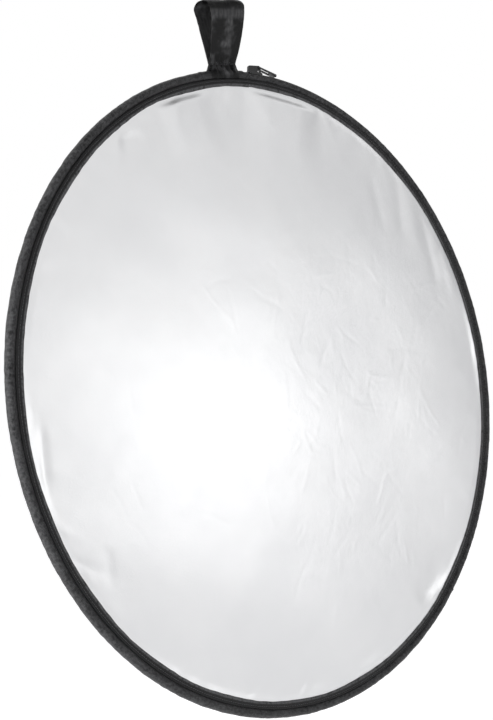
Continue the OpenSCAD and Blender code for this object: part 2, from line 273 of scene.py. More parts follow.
def disc_grid(radius, rim_points, spacing):
    """Flat points [x, z] and faces of a disc whose rings halve their points as they shrink."""
    rings = []
    r, count = radius, rim_points
    while r > spacing * 0.7:
        turns = np.linspace(0, 2 * math.pi, count, endpoint=False)
        rings.append(np.stack([r * np.cos(turns), r * np.sin(turns)], -1))
        r -= spacing
        if 2 * math.pi * r / count < 0.7 * spacing and count % 2 == 0 and count > 8:
            count //= 2
    faces = []
    start = 0
    for outer, inner in zip(rings, rings[1:]):
        n, m = len(outer), len(inner)
        below = start + n
        for j in range(m):
            a, b = below + j, below + (j + 1) % m
            if m == n:
                faces.append([start + j, start + (j + 1) % n, b, a])
                continue
            near, mid, far = start + 2 * j, start + 2 * j + 1, start + (2 * j + 2) % n
            faces += [[near, mid, a], [mid, b, a], [mid, far, b]]
        start = below
    last = len(rings[-1])
    faces += [[start + j, start + (j + 1) % last, start + last] for j in range(last)]
    return np.concatenate(rings + [np.zeros((1, 2))]), faces


def cross_fold(piece):
    """Bakes a piece that runs round the disc into place."""
    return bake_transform(piece)


# ---------------------------------------------------------------- materials

class Look:
    """A material built from nodes round one Principled shader."""

    def __init__(self, name, **shader_values):
        self.material = bpy.data.materials.new(name)
        self.material.use_nodes = True
        self.tree = self.material.node_tree
        self.shader = self.tree.nodes["Principled BSDF"]
        self.normal = None
        for socket, value in shader_values.items():
            self.shader.inputs[socket.replace("_", " ")].default_value = value

    def node(self, kind, inputs=None, **settings):
        made = self.tree.nodes.new("ShaderNode" + kind)
        for key, value in settings.items():
            setattr(made, key, value)
        for key, value in (inputs or {}).items():
            self.feed(made.inputs[key], value)
        return made

    def feed(self, socket, value):
        if isinstance(value, bpy.types.NodeSocket):
            self.tree.links.new(value, socket)
        else:
            socket.default_value = value

    def math(self, operation, a, b=0.0, c=0.0):
        return self.node("Math", {0: a, 1: b, 2: c}, operation=operation).outputs[0]

    def remap(self, value, low, high, out_low=0.0, out_high=1.0):
        made = self.node("MapRange", {"Value": value, "From Min": low, "From Max": high,
                                      "To Min": out_low, "To Max": out_high},
                         interpolation_type="SMOOTHSTEP")
        return made.outputs["Result"]

    def mix(self, share, a, b):
        made = self.node("Mix", {0: share}, data_type="RGBA")
        self.feed(made.inputs[6], a if isinstance(a, bpy.types.NodeSocket) else (*a, 1))
        self.feed(made.inputs[7], b if isinstance(b, bpy.types.NodeSocket) else (*b, 1))
        return made.outputs[2]

    def cloth_place(self):
        """The cloth's own flat coordinates, in metres: a vector, and its two parts."""
        vector = self.node("UVMap", uv_map=WEAVE_UV).outputs["UV"]
        parts = self.node("SeparateXYZ", {0: vector})
        return vector, parts.outputs[0], parts.outputs[1]

    def solid_place(self):
        return self.node("TexCoord").outputs["Object"]

    def noise(self, place, size, detail=4.0, roughness=0.55, stretch=None):
        """Noise whose features are about size metres across, from 0 to 1."""
        if stretch:
            place = self.node("Mapping", {"Vector": place, "Scale": stretch}).outputs[0]
        made = self.node("TexNoise", {"Vector": place, "Scale": 1 / size, "Detail": detail,
                                      "Roughness": roughness})
        return made.outputs["Fac"]

    def waves(self, place, pitch):
        """A sine from -1 to 1 that repeats every pitch metres."""
        return self.math("SINE", self.math("MULTIPLY", place, 2 * math.pi / pitch))

    def bump(self, height, depth):
        """Adds a relief; depth is its height in metres where the value goes from 0 to 1."""
        values = {"Height": height, "Distance": depth, "Strength": 1.0}
        if self.normal is not None:
            values["Normal"] = self.normal
        self.normal = self.node("Bump", values).outputs["Normal"]
        self.feed(self.shader.inputs["Normal"], self.normal)

    def colour(self, value):
        self.feed(self.shader.inputs["Base Color"], value)

    def rough(self, value):
        self.feed(self.shader.inputs["Roughness"], value)


def plain_weave(look, u, v, pitch):
    """Threads that pass over and under each other."""
    return look.math("MULTIPLY", look.waves(u, 2 * pitch), look.waves(v, 2 * pitch))


def fine_creases(look, place):
    """Thin broken ridges, in patches."""
    slope = look.math("ABSOLUTE", look.math("SUBTRACT", look.noise(place, 26 * MM, 4.0, 0.55), 0.5))
    patches = look.remap(look.noise(place, 0.07, 2.0), 0.46, 0.62)
    return look.math("MULTIPLY", look.remap(slope, 0.025, 0.0), patches)


def silver_look():
    """Silver film on a fine cloth: satin, faintly cloudy, with small creases from being coiled."""
    look = Look("silver film", Metallic=1.0)
    place, u, v = look.cloth_place()
    clouds = look.noise(place, 0.16, 3.0)
    look.colour(look.mix(look.remap(clouds, 0.3, 0.7), (0.775, 0.778, 0.785), (0.81, 0.812, 0.816)))
    look.rough(look.remap(look.noise(place, 0.03, 5.0), 0.3, 0.7, 0.275, 0.29))
    look.bump(look.noise(place, 0.05, 3.0, 0.5), 0.03 * MM)
    look.bump(look.noise(place, 9 * MM, 4.0, 0.6), 0.05 * MM)
    look.bump(look.noise(place, 3 * MM, 3.0), 0.02 * MM)
    look.bump(fine_creases(look, place), 0.025 * MM)
    look.bump(plain_weave(look, u, v, 0.35 * MM), 0.006 * MM)
    return look.material


def white_cloth_look():
    """White woven polyester."""
    look = Look("white cloth", Sheen_Weight=0.25, Sheen_Roughness=0.4)
    place, u, v = look.cloth_place()
    clouds = look.remap(look.noise(place, 0.12, 4.0), 0.3, 0.7)
    look.colour(look.mix(clouds, (0.70, 0.70, 0.685), (0.74, 0.74, 0.73)))
    look.rough(look.remap(look.noise(place, 0.02, 4.0), 0.3, 0.7, 0.55, 0.7))
    look.bump(look.noise(place, 0.04, 5.0), 0.25 * MM)
    look.bump(plain_weave(look, u, v, 0.45 * MM), 0.04 * MM)
    return look.material


def diffuser_look():
    """Thin white ripstop, with a coarser thread every few millimetres."""
    look = Look("ripstop diffuser", Sheen_Weight=0.15, Subsurface_Weight=0.2)
    place, u, v = look.cloth_place()
    clouds = look.remap(look.noise(place, 0.1, 4.0), 0.3, 0.7)
    look.colour(look.mix(clouds, (0.83, 0.83, 0.80), (0.90, 0.90, 0.88)))
    look.rough(look.remap(look.noise(place, 0.02, 3.0), 0.3, 0.7, 0.5, 0.62))
    ribs = [look.remap(look.waves(part, 5 * MM), 0.93, 1.0) for part in (u, v)]
    look.bump(look.math("MAXIMUM", *ribs), 0.1 * MM)
    look.bump(plain_weave(look, u, v, 0.3 * MM), 0.03 * MM)
    return look.material


def black_cloth(name, dark, light, rib_pitch, rib_depth, rough, wear_and_painted_light=None):
    """Black ribbed tape: ribs across it, fine threads along it, lighter worn places, and painted highlight
    and shade across it where given.
    """
    look = Look(name, Sheen_Weight=0.04, Sheen_Roughness=0.35, Specular_IOR_Level=0.25)
    place, u, v = look.cloth_place()
    ribs = look.remap(look.waves(u, rib_pitch), -1.0, 1.0)
    threads = look.remap(look.waves(v, 0.4 * MM), -1.0, 1.0)
    wander = look.remap(look.noise(place, 4 * MM, 4.0, 0.65), 0.36, 0.64)
    patches = look.remap(look.noise(place, 30 * MM, 3.0), 0.35, 0.65)
    mottle = look.math("MULTIPLY_ADD", wander, 0.75, look.math("MULTIPLY", patches, 0.25))
    tone = look.math("MULTIPLY", mottle, look.math("MULTIPLY_ADD", ribs, 0.5, 0.5))
    # Painted highlight and shade across the band, where given, scale the tone
    if wear_and_painted_light:
        tone = look.math("MULTIPLY", tone, wear_and_painted_light(look, v))
    look.colour(look.mix(tone, dark, light))
    look.rough(look.remap(wander, 0.0, 1.0, rough, rough + 0.16))
    look.bump(ribs, rib_depth)
    look.bump(threads, 0.04 * MM)
    look.bump(look.noise(place, 3 * MM, 4.0), 0.25 * MM)
    return look.material


def painted_flange_light(look, across):
    """Painted light across the edge band: a painted highlight along the flange's inner edge, and painted
    shade over its seam and in its groove.
    """
    # Painted highlight up to 3.4 mm from the inner edge, painted shade from 4.8 mm over the seam and groove,
    # and most of the tone back on the tube
    before = look.remap(across, 3.4 * MM, 4.8 * MM, 2.6, 0.15)
    after = look.remap(across, 12.5 * MM, 14.5 * MM, 0.0, 0.75)
    return look.math("ADD", before, after)


def edge_tape_look():
    # The edge tape takes painted light: a highlight on the flange's inner edge, and shade over its seam and
    # groove
    return black_cloth("edge tape", dark=(0.004, 0.004, 0.0045), light=(0.082, 0.082, 0.085),
                       rib_pitch=1.5 * MM, rib_depth=0.22 * MM, rough=0.42, wear_and_painted_light=painted_flange_light)


def binding_look():
    return black_cloth("core binding", dark=(0.006, 0.006, 0.0065), light=(0.030, 0.030, 0.0315),
                       rib_pitch=1.0 * MM, rib_depth=0.1 * MM, rough=0.6)


def zip_tape_look():
    """Herringbone zip tape."""
    look = Look("zip tape", Sheen_Weight=0.08, Sheen_Roughness=0.4, Specular_IOR_Level=0.3)
    place, u, v = look.cloth_place()
    zigzag = look.math("PINGPONG", v, 0.9 * MM)
    twill = look.remap(look.waves(look.math("ADD", u, zigzag), 0.7 * MM), -1.0, 1.0)
    worn = look.math("MULTIPLY", twill, look.remap(look.noise(place, 6 * MM), 0.3, 0.7))
    look.colour(look.mix(worn, (0.005, 0.005, 0.0055), (0.020, 0.020, 0.0215)))
    look.rough(look.remap(look.noise(place, 4 * MM), 0.3, 0.7, 0.62, 0.78))
    look.bump(twill, 0.1 * MM)
    return look.material


def satin_look():
    """Black satin ribbon: very fine threads across it, crush marks that shine more than the rest, as they
    are glossier and painted lighter as painted highlights, a painted highlight band over the bend at the
    top, and the rear half painted lighter as painted light.
    """
    look = Look("satin ribbon", Specular_IOR_Level=0.2, Anisotropic=0.4)
    place, u, v = look.cloth_place()
    streaks = look.remap(look.noise(place, 3 * MM, 5.0, 0.6, stretch=(0.15, 1.0, 1.0)), 0.3, 0.7)
    # Crush marks: glossier, and lighter in colour as painted highlights
    crush_and_painted_highlights = look.remap(look.noise(place, 17 * MM, 2.0, 0.5), 0.45, 0.80)
    # A painted highlight band over the bend at the top, and painted light on the rear half
    bend = look.math("MULTIPLY", look.remap(u, *SHINE_FROM), look.remap(u, *SHINE_TO))
    inside = look.remap(u, *REAR_TO)
    shine = look.math("MAXIMUM", crush_and_painted_highlights, look.math("MULTIPLY", bend, 0.55))
    shine = look.math("MAXIMUM", shine, look.math("MULTIPLY", inside, 0.4))
    tone = look.math("MULTIPLY", shine, look.math("MULTIPLY_ADD", streaks, 0.6, 0.4))
    # The colour carries these painted highlights and painted light
    look.colour(look.mix(tone, (0.0028, 0.0028, 0.003), (0.095, 0.095, 0.098)))
    look.rough(look.remap(crush_and_painted_highlights, 0.0, 1.0, 0.5, 0.38))
    look.bump(look.noise(place, 12 * MM, 3.0), 1.2 * MM)
    look.bump(look.waves(u, 0.35 * MM), 0.02 * MM)
    return look.material


def thread_look():
    """Twisted sewing thread, a little lighter than the tape."""
    look = Look("thread", Sheen_Weight=0.1, Sheen_Roughness=0.3, Specular_IOR_Level=0.3)
    _, u, v = look.cloth_place()
    twist = look.remap(look.waves(look.math("ADD", u, v), 0.35 * MM), -1.0, 1.0)
    look.colour(look.mix(twist, (0.04, 0.04, 0.042), (0.12, 0.12, 0.125)))
    look.rough(look.remap(twist, 0.0, 1.0, 0.7, 0.5))
    look.bump(twist, 0.05 * MM)
    return look.material


def spring_steel_look():
    """Cold rolled band, drawn along its length, with a few blue heat marks and oil stains."""
    look = Look("spring steel", Metallic=1.0)
    place, _, _ = look.cloth_place()
    lines = look.noise(place, 1.2 * MM, 5.0, 0.6, stretch=(0.03, 1.0, 1.0))
    stains = look.remap(look.noise(place, 0.05, 4.0), 0.45, 0.7)
    steel = look.mix(look.remap(lines, 0.3, 0.7), (0.40, 0.41, 0.43), (0.56, 0.57, 0.59))
    look.colour(look.mix(look.math("MULTIPLY", stains, 0.6), steel, (0.20, 0.24, 0.33)))
    look.rough(look.remap(lines, 0.3, 0.7, 0.22, 0.4))
    look.bump(lines, 0.02 * MM)
    return look.material


def solid_metal_look(name, dark, light, rough):
    """Plated steel on a CAD node: rolling lines and duller spots."""
    look = Look(name, Metallic=1.0)
    place = look.solid_place()
    lines = look.noise(place, 1.5 * MM, 5.0, 0.6, stretch=(1.0, 0.1, 1.0))
    spots = look.remap(look.noise(place, 4 * MM, 4.0), 0.35, 0.7)
    look.colour(look.mix(look.math("MULTIPLY", spots, lines), light, dark))
    look.rough(look.remap(spots, 0.0, 1.0, rough, rough + 0.2))
    look.bump(lines, 0.03 * MM)
    return look.material


def enamel_look():
    """Black enamel on die-cast zinc, rubbed through at the edges."""
    look = Look("black enamel")
    place = look.solid_place()
    face = look.node("NewGeometry").outputs["Normal"]
    rounded = look.node("Bevel", {"Radius": 0.35 * MM}, samples=6).outputs["Normal"]
    edge = look.node("VectorMath", {0: face, 1: rounded}, operation="DOT_PRODUCT").outputs["Value"]
    scuffs = look.noise(place, 1.6 * MM, 6.0, 0.7)
    wear_and_painted_light = look.math("MULTIPLY", look.remap(edge, 0.995, 0.86), look.remap(scuffs, 0.48, 0.62))
    cloudy = look.remap(look.noise(place, 5 * MM), 0.3, 0.7)
    coat = look.mix(cloudy, (0.004, 0.004, 0.0045), (0.011, 0.011, 0.012))
    look.colour(look.mix(wear_and_painted_light, coat, (0.42, 0.42, 0.43)))
    look.feed(look.shader.inputs["Metallic"], wear_and_painted_light)
    look.rough(look.remap(look.noise(place, 2 * MM, 5.0), 0.3, 0.7, 0.26, 0.42))
    look.bump(look.noise(place, 0.8 * MM, 3.0), 0.03 * MM)
    return look.material


def nylon_look():
    """Black nylon monofilament, glossy, with scuffed crowns."""
    look = Look("coil nylon", Specular_IOR_Level=0.55)
    place, _, _ = look.cloth_place()
    scuffs = look.remap(look.noise(place, 2.5 * MM, 5.0), 0.35, 0.7)
    look.colour(look.mix(scuffs, (0.005, 0.005, 0.0055), (0.018, 0.018, 0.019)))
    look.rough(look.remap(scuffs, 0.0, 1.0, 0.28, 0.5))
    look.bump(look.noise(place, 0.6 * MM, 3.0), 0.02 * MM)
    return look.material


# ---------------------------------------------------------------- cover cloths

# Folds that stand out on the silver side: ends [x, z], half width and height, all in mm, and how many times
# wider the fold is on the right-hand side of its run
SILVER_FOLDS = [
    ((231, 262), (239, 190), 9, -0.3, 1),
    ((281, 268), (274, 178), 9, -0.35, 1),
    ((298, 240), (300, 150), 10, 0.25, 1),
    ((314, 222), (327, 110), 8, -0.35, 1),
    ((350, 150), (358, 84), 7, 0.25, 1),
    ((-186, 316), (-156, 327), 9, -0.8, 1),
    ((-366, 0), (-371, -58), 6, -0.8, 1),
    ((-302, -150), (-306, -188), 8, -0.4, 1),
    ((196, -305), (240, -277), 12, -1.3, 1),
    ((-46, -364), (0, -368), 9, -0.7, 1),
    ((58, -364), (96, -353), 8, -0.6, 1),
    ((45, 371), (138, 348), 6, 2.6, 9),
    ((-110, 357), (-45, 371), 6, 1.5, 9),
]

# Small creases: seed, how many chains, and the middle and spread [x, z] of where they start, in mm
FRONT_CREASES = [(12, 150, (20, -60), (200, 210)), (13, 110, (150, -70), (95, 120))]
REAR_CREASES = [(22, 120, (0, 0), (220, 220))]
CREASES_WITHIN = 340
CREASE_TURNS = [-0.9, 0.75, 1.5]


def fold_relief(x, z, folds):
    """Height of soft folds along straight lines, each tapering at its ends."""
    total = np.zeros_like(x)
    for (x0, z0), (x1, z1), half_w, height, widening in folds:
        start, run = np.array([x0, z0]) * MM, np.array([x1 - x0, z1 - z0]) * MM
        length = np.hypot(*run)
        along = ((x - start[0]) * run[0] + (z - start[1]) * run[1]) / length ** 2
        across = ((x - start[0]) * run[1] - (z - start[1]) * run[0]) / length
        ends = smooth((along + 0.25) / 0.5) * smooth((1.25 - along) / 0.5)
        width = half_w * MM * np.where(across > 0, widening, 1)
        total += height * MM * ends * np.exp(-(across / width) ** 2)
    return total


def crease_lines(seed, count, centre, spread):
    """Small creases, as folds in short bent chains that start round a centre [x, z] in mm."""
    rng = np.random.default_rng(seed)
    lines = []
    for _ in range(count):
        start = rng.normal(centre, spread)
        if np.hypot(*start) > CREASES_WITHIN:
            continue
        turn = rng.choice(CREASE_TURNS) + rng.normal(0, 0.35)
        height = rng.choice([-1, 1]) * rng.uniform(0.03, 0.1)
        for _ in range(rng.integers(1, 4)):
            turn += rng.normal(0, 0.16)
            end = start + rng.uniform(9, 24) * np.array([math.cos(turn), math.sin(turn)])
            lines.append((tuple(start), tuple(end), rng.uniform(1.6, 2.8), height, 1))
            start = end
    return lines


def all_creases(groups):
    return [line for group in groups for line in crease_lines(*group)]


def rim_puckers(x, z, seed, count):
    """Short gathers that run in from the sewn edge."""
    rng = np.random.default_rng(seed)
    r, turns = np.hypot(x, z), np.arctan2(z, x)
    total = np.zeros_like(x)
    for place in rng.uniform(-math.pi, math.pi, count):
        reach = rng.uniform(18, 75) * MM
        half_w = rng.uniform(3.5, 9) * MM
        height = rng.choice([-1, 1]) * rng.uniform(0.1, 0.36) * MM
        lean = rng.normal(0, 0.5)
        inward = FLANGE_IN - r
        across = np.angle(np.exp(1j * (turns - place))) * r - lean * inward
        fade = np.clip(1 - inward / reach, 0, 1) ** 1.5
        total += height * fade * np.exp(-(across / (half_w + 0.15 * np.abs(inward))) ** 2)
    return total


def cloth_relief(x, z, seed, folds):
    """How far a cover cloth stands off its flat shape; nothing where it is sewn under the flange."""
    held = smooth((FLANGE_IN + 1.5 * MM - np.hypot(x, z)) / (11 * MM))
    slack = 0.7 * MM * ripples(x, z, seed, 0.34) + 0.11 * MM * ripples(x, z, seed + 1, 0.11)
    slack += 0.02 * MM * ripples(x, z, seed + 2, 0.035)
    return held * (slack + rim_puckers(x, z, seed + 3, 120) + fold_relief(x, z, folds))


def cover_cloth(name, side, seed, folds, look):
    """One cover panel as a single sheet of cloth; side is 1 for the front and -1 for the rear."""
    flat, faces = disc_grid(PANEL_R, COVER_RIM_POINTS, COVER_SPACING)
    x, z = flat.T
    h = side * (PANEL_H - 0.1 * MM + cloth_relief(x, z, seed, folds))
    if side < 0:
        faces = [face[::-1] for face in faces]
    uv = flat[np.concatenate([np.array(face) for face in faces])]
    piece = make_piece(name, np.stack([x, -h, z], -1), faces, uv, look)
    return cross_fold(piece)


def core_cloth(look):
    """The diffuser, stretched inside the hoop."""
    flat, faces = disc_grid(FABRIC_R, CORE_RIM_POINTS, CORE_SPACING)
    x, z = flat.T
    edge = smooth((FABRIC_R - BINDING_W - np.hypot(x, z)) / (20 * MM))
    h = edge * (0.5 * MM * ripples(x, z, 31, 0.3) + 0.12 * MM * ripples(x, z, 32, 0.09))
    uv = flat[np.concatenate([np.array(face) for face in faces])]
    piece = make_piece("diffuser_cloth", np.stack([x, -h, z], -1), faces, uv, look)
    return cross_fold(piece)


# ---------------------------------------------------------------- edge band

def arc(middle_r, radius, start, stop, count):
    """Points [r, h] on a circle in the rim's section, by angle from outwards to the front."""
    turns = np.radians(np.linspace(start, stop, count))
    return np.stack([middle_r + radius * np.cos(turns), radius * np.sin(turns)], -1)


def flange_outline():
    """Front of the flange as [r, h], from under its inner edge, over the sewn trough, to the groove."""
    points = [(FLANGE_IN, PANEL_H), (FLANGE_IN - 0.1 * MM, PANEL_H + 0.35 * MM),
              (FLANGE_IN + 0.15 * MM, RIM_R - 0.15 * MM), (FLANGE_IN + 0.7 * MM, RIM_R),
              (FLANGE_IN + 2.2 * MM, RIM_R + 0.08 * MM), (SEAM_R - 1.5 * MM, RIM_R + 0.05 * MM),
              (SEAM_R - 0.7 * MM, RIM_R - 0.2 * MM), (SEAM_R, RIM_R - 0.5 * MM),
              (SEAM_R + 0.7 * MM, RIM_R - 0.2 * MM), (SEAM_R + 1.4 * MM, RIM_R + 0.05 * MM),
              (FLANGE_OUT, RIM_R - 0.1 * MM), (FLANGE_OUT + 0.4 * MM, RIM_R - 0.9 * MM),
              (FLANGE_OUT + 0.6 * MM, RIM_R - 1.8 * MM), (FLANGE_OUT + 1.0 * MM, RIM_R - 2.3 * MM)]
    return np.array(points)


def flange_underside():
    """Inside of the flange as [r, h], from the tube's mouth back to its inner edge."""
    return np.array([(FLANGE_OUT + 1.2 * MM, RIM_R - 3.05 * MM), (FLANGE_OUT - 0.1 * MM, PANEL_H - 1.4 * MM),
                     (FLANGE_OUT - 0.2 * MM, PANEL_H), (FLANGE_IN + 3 * MM, PANEL_H)])


def mirrored(points):
    return points[::-1] * [1, -1]


def full_band_outline():
    """Closed outline of the band where it wraps right round the tube."""
    outside = arc(TUBE_R, RIM_R, MOUTH_OUTSIDE, -MOUTH_OUTSIDE, 36)
    inside = arc(TUBE_R, RIM_R - BAND_T, -MOUTH_INSIDE, MOUTH_INSIDE, 24)
    return np.concatenate([flange_outline(), outside, mirrored(flange_outline()),
                           mirrored(flange_underside()), inside, flange_underside()])


def half_band_outline():
    """Closed outline of the front half of the band, where the zip takes the tube's outer side."""
    outside = arc(TUBE_R, RIM_R, MOUTH_OUTSIDE, ZIP_MOUTH, 14)
    inside = arc(TUBE_R, RIM_R - BAND_T, ZIP_MOUTH, MOUTH_INSIDE, 9)
    return np.concatenate([flange_outline(), outside, inside, flange_underside()])


def band_rings(outline, angles, seed):
    """The band's outline at each angle, with its uneven flange edge and soft, lumpy tube."""
    r, h = outline.T
    near_edge = smooth((FLANGE_IN + 4 * MM - r) / (4 * MM))
    wander = 0.6 * MM * harmonics(angles, seed, 4, 24) + 0.15 * MM * harmonics(angles, seed + 1, 60, 150)
    outside = np.hypot(r - TUBE_R, h) > RIM_R - BAND_T / 2
    on_tube = smooth((r - FLANGE_OUT - 1.5 * MM) / (3 * MM)) * outside
    lumps = 0.16 * MM * harmonics(angles, seed + 2, 20, 90)
    lumps += 0.10 * MM * harmonics(angles, seed + 3, 120, 260)
    away = np.stack([r - TUBE_R, h], -1)
    away = away / np.maximum(np.linalg.norm(away, axis=1, keepdims=True), 1e-9)
    push = lumps[:, None] * on_tube
    rr = r + wander[:, None] * near_edge + push * away[:, 0]
    hh = h + push * away[:, 1]
    return polar(angles[:, None], rr, hh)


def angle_steps(start, stop):
    return np.linspace(start, stop, round((stop - start) / RING_STEP) + 1)


def edge_tape(look):
    """The whole plain stretch of the edge band, from the carry loop round to the zip's end."""
    angles = angle_steps(ZIP_TO, ZIP_FROM + 360)
    piece = sweep("edge_tape", band_rings(full_band_outline(), angles, 51), look)
    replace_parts(piece, "edge_band_top", "edge_band_left", "edge_band_bottom")
    return cross_fold(piece)


def zip_side(name, side, look):
    """Front or rear half of the edge band beside the zip."""
    outline = half_band_outline()
    if side < 0:
        outline = mirrored(outline)
    angles = angle_steps(ZIP_FROM, ZIP_TO)
    piece = sweep(name, band_rings(outline, angles, 61 + side), look)
    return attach(piece, "root")


def stitch_row(name, seam_r, h, pitch, thread_r, look, side):
    """Single stitches round the disc: each dips into the cloth at both ends."""
    count = round(2 * math.pi * seam_r / pitch)
    t = np.linspace(0, 1, 6)
    length = 360 / count * 0.84
    angles = np.arange(count)[:, None] * 360 / count + t * length
    rise = np.sin(math.pi * t) ** 0.5
    rng = np.random.default_rng(71)
    drift = rng.normal(0, 0.08 * MM, (count, 1))
    paths = polar(angles, seam_r + drift, side * (h + (rise - 1) * 2 * thread_r))
    sides = np.broadcast_to([0.0, 1.0, 0.0], paths.shape)
    radii = thread_r * (0.55 + 0.45 * rise)
    piece = tubes(name, paths, sides, radii, look, facets=5)
    return cross_fold(piece)


# ---------------------------------------------------------------- core

def binding_outline():
    """Closed outline of the tape folded over the diffuser's edge, round the hoop's pocket."""
    leg = BINDING_T + 0.1 * MM
    leg_in = FABRIC_R - BINDING_W
    pocket_in = HOOP_OUT - HOOP_T - 0.9 * MM
    outer = np.array([(leg_in, 0.12 * MM), (leg_in, leg - 0.1 * MM), (leg_in + 0.2 * MM, leg),
                      (CORE_SEAM_R - 1.2 * MM, leg + 0.05 * MM), (CORE_SEAM_R, leg - 0.08 * MM),
                      (CORE_SEAM_R + 1.2 * MM, leg + 0.05 * MM), (FABRIC_R - 0.4 * MM, leg),
                      (pocket_in, BINDING_HALF_W - 0.4 * MM), (pocket_in + 0.6 * MM, BINDING_HALF_W),
                      (BINDING_OUT - 0.5 * MM, BINDING_HALF_W), (BINDING_OUT, BINDING_HALF_W - 0.5 * MM)])
    inner = np.array([(BINDING_OUT - BINDING_T, BINDING_HALF_W - BINDING_T),
                      (pocket_in + 0.5 * MM, BINDING_HALF_W - BINDING_T),
                      (FABRIC_R + 0.1 * MM, 0.12 * MM)])
    return np.concatenate([outer, mirrored(outer), mirrored(inner), inner])


def core_tape(look):
    """The binding on the diffuser, with a slightly uneven inner edge."""
    angles = np.arange(0, 360, 0.6)
    r, h = binding_outline().T
    near_edge = smooth((FABRIC_R - BINDING_W + 3 * MM - r) / (3 * MM))
    rr = r + 0.4 * MM * harmonics(angles, 81, 8, 60)[:, None] * near_edge
    piece = sweep("core_tape", polar(angles[:, None], rr, h), look, closed=True)
    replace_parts(piece, "core_binding_right", "core_binding_left")
    return cross_fold(piece)


def spring_hoop(look):
    """The spring band with rolled edges, its ends a little apart inside the ferrule."""
    round_r = 0.25 * MM
    half_gap = math.degrees(SPLICE_GAP / 2 / HOOP_OUT)
    corners = []
    for out, front, first in ((1, 1, 0), (0, 1, 90), (0, -1, 180), (1, -1, 270)):
        middle = HOOP_OUT - round_r if out else HOOP_OUT - HOOP_T + round_r
        bend = arc(middle, round_r, first, first + 90, 4)
        corners.append(bend + [0, front * (HOOP_HALF_W - round_r)])
    r, h = np.concatenate(corners).T
    angles = np.linspace(SPLICE_ANGLE + half_gap, SPLICE_ANGLE + 360 - half_gap, HOOP_RINGS)
    piece = sweep("spring_hoop", polar(angles[:, None], r, h), look)
    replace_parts(piece, "hoop_right", "hoop_left")
    return cross_fold(piece)


# ---------------------------------------------------------------- zip

def zip_tape_strip(name, side, look):
    """Woven zip tape, with a thicker selvedge under the coil."""
    inner, outer = 0.7 * MM, TAPE_H
    line = np.linspace(inner, outer, 9)
    top = np.stack([TAPE_R + TAPE_T - 0.15 * MM * smooth((line - inner) / (3 * MM)), line], -1)
    bottom = np.stack([np.full(9, TAPE_R), line[::-1]], -1)
    outline = np.concatenate([top, bottom])
    if side < 0:
        outline = mirrored(outline)
    angles = angle_steps(ZIP_FROM, ZIP_TO)
    r, h = outline.T
    loose = smooth((np.abs(h) - 1.5 * MM) / (2 * MM))
    rr = r + 0.05 * MM * harmonics(angles, 91 + side, 60, 200)[:, None] * loose
    piece = sweep(name, polar(angles[:, None], rr, h), look)
    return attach(piece, "root")


def zip_coil_teeth(name, side, look):
    """One continuous filament coiled into teeth, whose heads reach just over the middle to mesh."""
    head, heel = -0.28 * MM, 2.95 * MM
    length = math.radians(COIL_TO - COIL_FROM) * TAPE_R
    turns = int(length / COIL_PITCH)
    steps = np.arange(turns * COIL_FACETS + 1) / COIL_FACETS
    phase = 2 * math.pi * steps
    shift = 0.25 if side > 0 else 0.75
    angles = COIL_FROM + (steps + shift) * math.degrees(COIL_PITCH / TAPE_R)
    wide, tall = (heel - head) / 2, 0.72 * MM
    h = side * (head + wide + wide * np.cos(phase))
    r = TAPE_R + TAPE_T + COIL_WIRE + tall + tall * np.sin(phase)
    path = polar(angles, r, h)
    tangent_angles = np.radians(angles)
    sides = np.stack([-np.sin(tangent_angles), 0 * tangent_angles, np.cos(tangent_angles)], -1)
    piece = tubes(name, path[None], sides[None], np.full(len(path), COIL_WIRE), look, facets=5)
    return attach(piece, "root")


# ---------------------------------------------------------------- carry loop

def loop_side(turn, half_gap):
    """The loop seen from the side: y and z at a turn from 0, its rear foot, over the top to 2 pi.

    belly is about 1 where the loop is deepest.
    """
    s = (1 - np.cos(turn)) / 2
    belly = np.sign(np.sin(turn)) * s ** 0.8 * np.sqrt(1 - s ** 12) / 0.815
    y = -LOOP_LEAN * s * (2 - s) + half_gap * belly
    return y, LOOP_Z + s * (LOOP_H - RIBBON_T / 2)


def ribbon_path():
    """Middle line of the ribbon as [y, z], from its sewn rear end, over the top, to its front end."""
    hug = PATCH_R + 0.9 * MM
    foot_turns = np.radians(np.linspace(HUG_FROM, HUG_TO, 20))
    rear_foot = np.stack([hug * np.cos(foot_turns), TUBE_R + hug * np.sin(foot_turns)], -1)
    turns = np.linspace(LOOP_OPENING, 2 * math.pi - LOOP_OPENING, 120)
    y, z = loop_side(turns, LOOP_HALF_GAP + RIBBON_T / 2)
    loop = np.stack([y, z], -1)
    neck = np.array([(1.3 * MM, LOOP_SEAM_Z - 1.2 * MM), (0.75 * MM, LOOP_SEAM_Z)])
    rear = np.concatenate([rear_foot, neck])
    front = rear[::-1] * [-1, 1]
    path = np.concatenate([rear, loop, front])
    steps = np.concatenate([[0], np.cumsum(np.linalg.norm(np.diff(path, axis=0), axis=1))])
    even = np.linspace(0, steps[-1], RIBBON_ROWS)
    path = np.stack([np.interp(even, steps, path[:, k]) for k in (0, 1)], -1)
    for _ in range(6):
        path[1:-1] = (path[:-2] + 2 * path[1:-1] + path[2:]) / 4
    return path, even


def ribbon_relief(path, along, x, across, rise):
    """How far the ribbon stands off its middle line: pleats and a pinch at the seam, and waves above it."""
    gathers = np.exp(-((path[:, 1] - LOOP_SEAM_Z + 3 * MM) / (12 * MM)) ** 2)
    pleats = np.sin(5.2 * math.pi * across + 0.8 + 0.9 * np.sin(3 * across))
    pleats = pleats + 0.5 * np.sin(19 * across + 2)
    upward = smooth(rise)[:, None]
    waves = 0.9 * MM * upward * ripples(x, along[:, None], 101, 0.045)
    crinkles = 0.25 * MM * ripples(x, along[:, None], 102, 0.012) * upward
    pinch = 0.45 * MM * np.exp(-((path[:, 1:] - LOOP_SEAM_Z) / (1.3 * MM)) ** 2)
    return 0.7 * MM * gathers[:, None] * pleats + waves + crinkles - pinch


